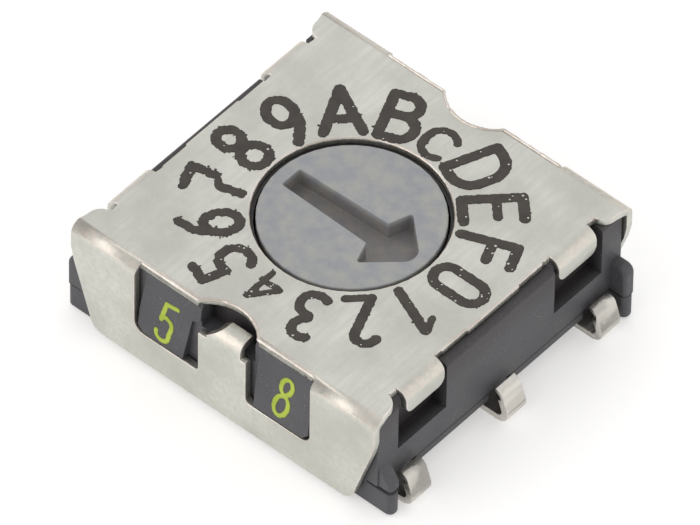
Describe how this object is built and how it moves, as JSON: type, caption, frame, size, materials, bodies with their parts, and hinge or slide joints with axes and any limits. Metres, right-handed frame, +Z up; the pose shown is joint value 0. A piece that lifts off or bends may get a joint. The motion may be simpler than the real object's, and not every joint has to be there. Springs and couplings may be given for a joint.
{
  "type": "rotary dip switch",
  "caption": "Low square surface-mount rotary code switch: folded metal cover with a printed hexadecimal dial, recessed arrow rotor and hooked terminals.",
  "frame": {"origin": "on the board, under the rotor's axis, at the bottom of the terminals", "axes": "+Z up out of the board along the rotor's axis; +X towards the side of the dial marked 0, where one row of terminals stands; +Y along the terminal row"},
  "size_m": [0.0076, 0.0068, 0.0025],
  "materials": {
    "cover_metal": "satin, faintly brushed, brighter on the bends and punched edges",
    "housing_plastic": "dark grey moulding, matt",
    "base_plastic": "dark grey moulding, matt",
    "rotor_plastic": "mid grey moulding with faint mottling",
    "seal_rubber": "black rubber",
    "contact_metal": "gold-plated sheet",
    "spring_steel": "bright spring strip",
    "terminal_metal": "tin-plated, satin",
    "dial_ink": "dark brown-grey printing ink with rough edges",
    "digit_ink": "yellow-green printing ink"
  },
  "bodies": {
    "case": {"cover": "cover_metal", "housing": "housing_plastic", "base": "base_plastic", "terminal_code_1": "terminal_metal", "terminal_common_right": "terminal_metal", "terminal_code_2": "terminal_metal", "terminal_code_4": "terminal_metal", "terminal_common_left": "terminal_metal", "terminal_code_8": "terminal_metal", "detent_spring_1": "spring_steel", "detent_spring_2": "spring_steel", "dial_print": "dial_ink", "side_digit_left": "digit_ink", "side_digit_right": "digit_ink"},
    "turning": {"rotor": "rotor_plastic", "rotor_seal": "seal_rubber", "code_disc": "contact_metal"}
  },
  "joints": [
    {"name": "rotor_turn", "type": "hinge", "parent": "case", "child": "turning", "pos_m": [0, 0, 0.0015], "axis": [0, 0, 1], "continuous": true}
  ]
}
